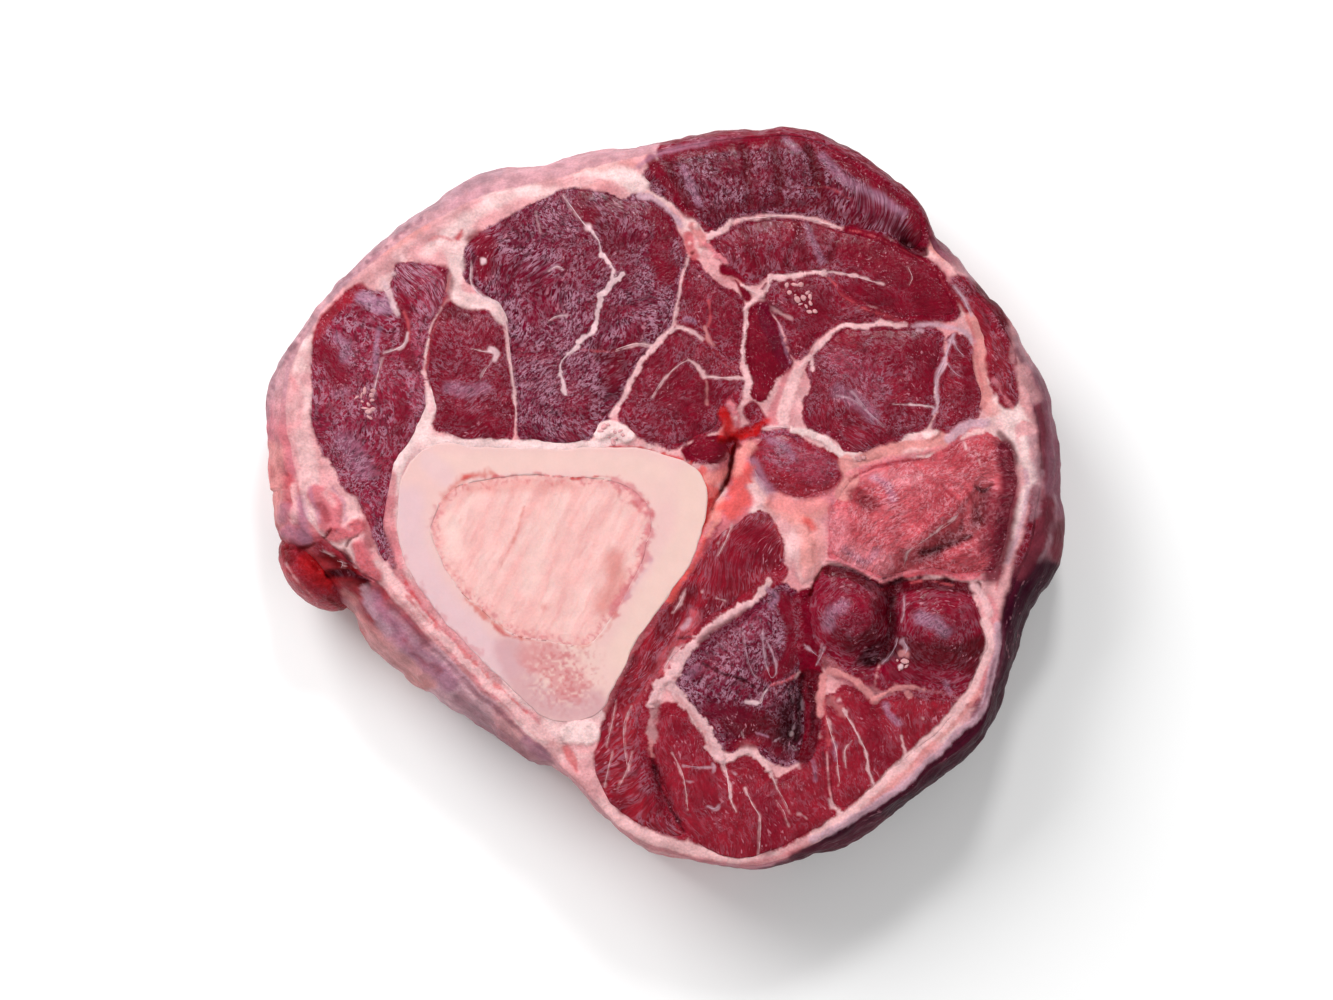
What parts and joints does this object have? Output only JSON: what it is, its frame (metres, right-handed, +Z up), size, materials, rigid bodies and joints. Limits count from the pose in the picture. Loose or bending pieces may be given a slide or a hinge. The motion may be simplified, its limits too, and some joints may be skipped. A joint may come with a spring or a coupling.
{
  "type": "raw beef shank slice",
  "caption": "Cross-cut slice of raw beef shank: a three-cornered marrow bone ringed by muscles in pale fascia and fat",
  "frame": {"origin": "middle of the slice on the surface it lies on, under the centre of its bounding box", "axes": "+Z up out of the upper cut face, +X to the right of the cut face as pictured, along the slice's longest side, +Y up the picture, away from the viewer"},
  "size_m": [0.1632, 0.1522, 0.0337],
  "materials": {
    "muscle": "wet, dark crimson to purple raw muscle",
    "pale_muscle": "moist, salmon red raw muscle",
    "fat": "moist pink-white fat and connective tissue",
    "bone": "sawn cream bone",
    "marrow": "fatty pink marrow"
  },
  "bodies": {
    "root": {"bone": "bone", "fat_and_fascia": "fat", "marrow": "marrow", "muscle_beside_bone": "muscle", "muscle_bottom": "muscle", "muscle_corner_small": "muscle", "muscle_dark_centre": "muscle", "muscle_deep_lower": "muscle", "muscle_deep_middle": "muscle", "muscle_deep_right": "muscle", "muscle_deep_wedge": "muscle", "muscle_dome_left": "muscle", "muscle_dome_right": "muscle", "muscle_front_left": "muscle", "muscle_lower_right": "muscle", "muscle_main_upper": "muscle", "muscle_outer_left": "muscle", "muscle_pale_flap": "pale_muscle", "muscle_right_crescent": "muscle", "muscle_right_outer": "muscle", "muscle_right_round": "muscle", "muscle_side_lobe": "muscle", "muscle_small_oval": "muscle", "muscle_top_inner": "muscle", "muscle_top_outer": "muscle"}
  },
  "joints": []
}
